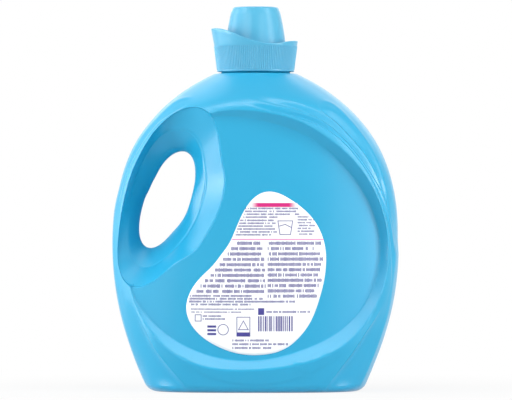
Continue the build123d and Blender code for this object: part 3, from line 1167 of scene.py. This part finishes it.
def print_rows_tree():
    """Rows of small upright bars with gaps along given lines, laid on the curved film."""
    tree, given, out = named_group(
        "print_rows", "GeometryNodeTree",
        {
            "Rows": "Geometry", "Pitch": "Float", "Bar Width": "Float", "Lowest": "Float", "Filled": "Float",
            "Seed": "Int", "Film Radius": "Float", "Film Axis": "Float", "Ink": "Material",
        },
        {"Geometry": "Geometry"},
    )
    line = add_node(tree, "GeometryNodeMeshToCurve", {"Mesh": given["Rows"]}).outputs["Curve"]
    stations = add_node(
        tree, "GeometryNodeResampleCurve", {"Curve": line, "Length": given["Pitch"]}, mode="LENGTH"
    )
    bar = add_node(
        tree, "GeometryNodeMeshGrid", {"Size X": 1, "Size Y": 1, "Vertices X": 2, "Vertices Y": 2}
    )
    share = add_node(tree, "FunctionNodeRandomValue", {"Seed": given["Seed"]}, data_type="FLOAT")
    lowest = next(socket for socket in share.inputs if socket.type == "VALUE" and socket.name == "Min")
    tree.links.new(given["Lowest"], lowest)
    picked = next(socket for socket in share.outputs if socket.type == "VALUE")
    row_height = add_node(
        tree, "GeometryNodeInputNamedAttribute", {"Name": "row_height"}, data_type="FLOAT"
    )
    height = add_math(tree, "MULTIPLY", picked, row_height.outputs["Attribute"])
    filled = add_node(
        tree, "FunctionNodeRandomValue", {"Probability": given["Filled"], "Seed": given["Seed"]},
        data_type="BOOLEAN",
    )
    place = add_node(
        tree, "GeometryNodeInstanceOnPoints",
        {
            "Points": stations.outputs["Curve"], "Instance": bar.outputs["Mesh"],
            "Selection": next(socket for socket in filled.outputs if socket.type == "BOOLEAN"),
            "Rotation": (pi / 2, 0, 0), "Scale": join_axes(tree, X=given["Bar Width"], Y=height, Z=1),
        },
    )
    real = add_node(tree, "GeometryNodeRealizeInstances", {"Geometry": place.outputs["Instances"]})

    # Depth of the film at each point
    axes = split_axes(tree, add_node(tree, "GeometryNodeInputPosition", {}).outputs["Position"])
    turn = add_math(tree, "ARCSINE", add_math(tree, "DIVIDE", axes["X"], given["Film Radius"]))
    drop = add_math(tree, "COSINE", turn)
    depth = add_math(tree, "MULTIPLY_ADD", drop, given["Film Radius"], given["Film Axis"])
    front = add_math(tree, "MULTIPLY", depth, -1)
    film = join_axes(tree, X=axes["X"], Y=front, Z=axes["Z"])
    lay = add_node(tree, "GeometryNodeSetPosition", {"Geometry": real.outputs["Geometry"], "Position": film})
    paint_tree(tree, lay.outputs["Geometry"], given["Ink"], out)
    return tree


def grow_piece(name, tree, values, base=None):
    """Run a tree with its inputs set, and keep the result as a plain mesh."""
    holder = bpy.data.objects.new(name, base or bpy.data.meshes.new(name))
    bpy.context.scene.collection.objects.link(holder)
    modifier = holder.modifiers.new("grow", "NODES")
    modifier.node_group = tree
    for item in tree.interface.items_tree:
        if item.in_out == "INPUT" and item.name in values:
            modifier[item.identifier] = values[item.name]
    graph = bpy.context.evaluated_depsgraph_get()
    mesh = bpy.data.meshes.new_from_object(holder.evaluated_get(graph))
    holder.modifiers.remove(modifier)
    holder.data = mesh
    return holder


# Pieces
front_inner, front_outer, back_half, bottle_ends = bottle_skins()
for name, skins in (
    ("bottle_front_handle", [front_inner]), ("bottle_front_side", [front_outer]),
    ("bottle_back", [back_half]), ("bottle_ends", bottle_ends),
):
    bottle = make_piece(name, skins, bottle_blue, smooth_limit)
    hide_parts("bottle")
    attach(bottle, "jug")

sleeve_thread = thread_skin(
    sleeve_radius, thread_height, sleeve_bottom + sleeve_thread_low, shelf_bottom - sleeve_thread_high, 1
)
cap_skins = [ring_stack(cap_rings()), sleeve_thread]
cap = make_piece("cap_body", cap_skins, cap_blue, smooth_limit)
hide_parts("cap")
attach(cap, "cap")

skirt_slope = (skirt_top_radius - skirt_radius) / (skirt_top - skirt_bottom)
rib_length = (skirt_top - skirt_bottom - plain_lip) * (1 + skirt_slope**2) ** 0.5
ribs = grow_piece(
    "cap_ribs",
    skirt_ribs_tree(),
    {
        "Rib Count": rib_count,
        "Rib Form": (rib_height, rib_width_share * 2 * pi * skirt_radius / rib_count, rib_length),
        "Lean": (0, np.arctan(skirt_slope), 0),
        "Foot": (skirt_radius + skirt_slope * plain_lip, 0, skirt_bottom + plain_lip),
        "Plastic": cap_blue,
    },
)
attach(ribs, "cap")

well_thread = thread_skin(
    well_radius, thread_height, well_floor + well_thread_low, flange_top - well_thread_high, -1
)
spout = make_piece("spout_body", [*spout_skins(), well_thread], spout_milky, spout_smooth_limit)
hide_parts("pour_spout")
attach(spout, "jug")

label = make_piece("label_film", [label_skin()], label_white)
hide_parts("back_label")
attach(label, "jug")

rows = grow_piece(
    "label_rows",
    print_rows_tree(),
    {
        "Pitch": letter_pitch,
        "Bar Width": bar_share * letter_pitch,
        "Lowest": lowest_bar,
        "Filled": filled_share,
        "Seed": print_seed,
        "Film Radius": panel_radius + label_film + print_lift,
        "Film Axis": panel_face - panel_radius,
        "Ink": ink_violet,
    },
    row_lines(),
)
marks = make_piece("label_marks", print_marks(), ink_violet)
pill = make_piece("label_pill", [box_mark(*pill_box)], ink_magenta)
rule = make_piece("label_rule", [box_mark(*rule_box)], ink_pink)
for piece in (rows, marks, pill, rule):
    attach(piece, "jug")


# Stage
floor_whiteness = 0.88
floor_reach = 6.0
shadow_start = 0.10
shadow_end = 0.45
surround_strength = 0.13
jug_middle = (0, 0, 0.16)
# Softboxes: degrees round from the camera's side, reach and level, width, height and glow
lamps = {
    "left_low": (-78, 1.7, 0.18, 0.48, 0.6, 12.6),
    "left_edge": (-104, 1.7, 0.22, 0.85, 0.6, 4.0),
    "left_high": (-105, 1.6, 0.85, 0.8, 0.8, 2.3),
    "left_strip": (-71, 1.6, 0.95, 0.18, 0.5, 3.5),
    "left_front": (-46, 1.7, 0.18, 0.48, 0.6, 1.8),
    "left_front_high": (-40, 1.6, 0.85, 1.1, 0.8, 2.5),
    "left_top": (-66, 1.15, 1.30, 0.62, 0.42, 4.8),
    "right_low": (70, 1.7, 0.18, 0.48, 0.6, 13.6),
    "right_high": (66, 1.6, 0.85, 0.75, 0.8, 2.0),
    "right_strip": (60, 1.6, 0.95, 0.18, 0.5, 5.0),
    "right_front": (48, 1.7, 0.18, 0.8, 0.6, 1.7),
    "right_front_high": (28, 1.6, 0.85, 0.8, 0.7, 1.7),
    "right_top": (66, 1.15, 1.30, 0.62, 0.42, 4.0),
    "over_front": (0, 0.62, 1.8, 1.9, 0.28, 7.0),
    "back_left_top": (-135, 0.85, 1.6, 0.9, 0.6, 1.0),
    "back_top": (180, 1.2, 1.4, 1.8, 0.6, 1.0),
    "back_low": (180, 1.8, 0.85, 2.6, 0.6, 0.7),
    "front": (0, 3.2, 0.7, 1.6, 1.2, 0.22),
}


def seen_rays(tree):
    """One for the rays that show a thing straight, in gloss or through glass, and zero for the rest."""
    path = add_node(tree, "ShaderNodeLightPath", {}).outputs
    straight = add_math(tree, "MAXIMUM", path["Is Camera Ray"], path["Is Glossy Ray"])
    return add_math(tree, "MAXIMUM", straight, path["Is Transmission Ray"])


def backdrop_world(strength):
    """White surround that lights the jug softly, and shows as plain white behind it and in its gloss."""
    world = bpy.data.worlds.new("studio")
    world.use_nodes = True
    tree = world.node_tree
    limits = {"Value": seen_rays(tree), "To Min": strength, "To Max": 1.0}
    level = add_node(tree, "ShaderNodeMapRange", limits).outputs["Result"]
    fill_inputs(tree, tree.nodes["Background"], {"Color": (1, 1, 1, 1), "Strength": level})
    bpy.context.scene.world = world


def soft_light(name, azimuth, reach, level, width, height, glow):
    """Softbox that faces the jug, at degrees round from the camera's side, reach and level from the jug."""
    lamp = bpy.data.lights.new(name, "AREA")
    lamp.shape = "RECTANGLE"
    lamp.size = width
    lamp.size_y = height
    lamp.energy = pi * width * height * glow
    light = bpy.data.objects.new(name, lamp)
    light.location = reach * sin(radians(azimuth)), -reach * cos(radians(azimuth)), level
    light.rotation_euler = (Vector(jug_middle) - light.location).to_track_quat("-Z", "Y").to_euler()
    bpy.context.scene.collection.objects.link(light)


def floor_sheet():
    """Wide pale floor that shows near white and keeps the jug's shadow."""
    material = bpy.data.materials.new("floor_white")
    material.use_nodes = True
    tree = material.node_tree
    matt = tree.nodes["Principled BSDF"]
    fill_inputs(
        tree, matt, {"Base Color": (0.70, 0.70, 0.70, 1), "Roughness": 0.9, "Specular IOR Level": 0.0}
    )
    white = add_node(tree, "ShaderNodeEmission", {})
    reach = add_node(tree, "ShaderNodeVectorMath", {0: object_place(tree)}, operation="LENGTH")
    fade = add_fade(tree, reach.outputs["Value"], shadow_start, shadow_end, floor_whiteness, 1.0)
    share = add_math(tree, "MULTIPLY", seen_rays(tree), fade)
    mix = add_node(
        tree, "ShaderNodeMixShader",
        {"Fac": share, 1: matt.outputs["BSDF"], 2: white.outputs["Emission"]},
    )
    fill_inputs(tree, tree.nodes["Material Output"], {"Surface": mix.outputs["Shader"]})
    mesh = bpy.data.meshes.new("floor")
    corners = [(floor_reach * x, floor_reach * y, 0) for x, y in ((-1, -1), (1, -1), (1, 1), (-1, 1))]
    mesh.from_pydata(corners, [], [(0, 1, 2, 3)])
    mesh.materials.append(material)
    floor = bpy.data.objects.new("floor", mesh)
    bpy.context.scene.collection.objects.link(floor)


backdrop_world(surround_strength)
floor_sheet()
for name, setting in lamps.items():
    soft_light(name, *setting)

camera_distance = 4.0
camera_x = 0.3 * mm
camera_height = 154.3 * mm
picture_width = 512 * 0.811 * mm
sensor_width = 36
lens = bpy.data.cameras.new("camera")
lens.sensor_width = sensor_width
lens.lens = sensor_width * camera_distance / picture_width
camera = bpy.data.objects.new("camera", lens)
camera.location = (camera_x, -camera_distance, camera_height)
camera.rotation_euler = (pi / 2, 0, 0)
bpy.context.scene.collection.objects.link(camera)
bpy.context.scene.camera = camera
bpy.context.scene.view_settings.view_transform = "Standard"
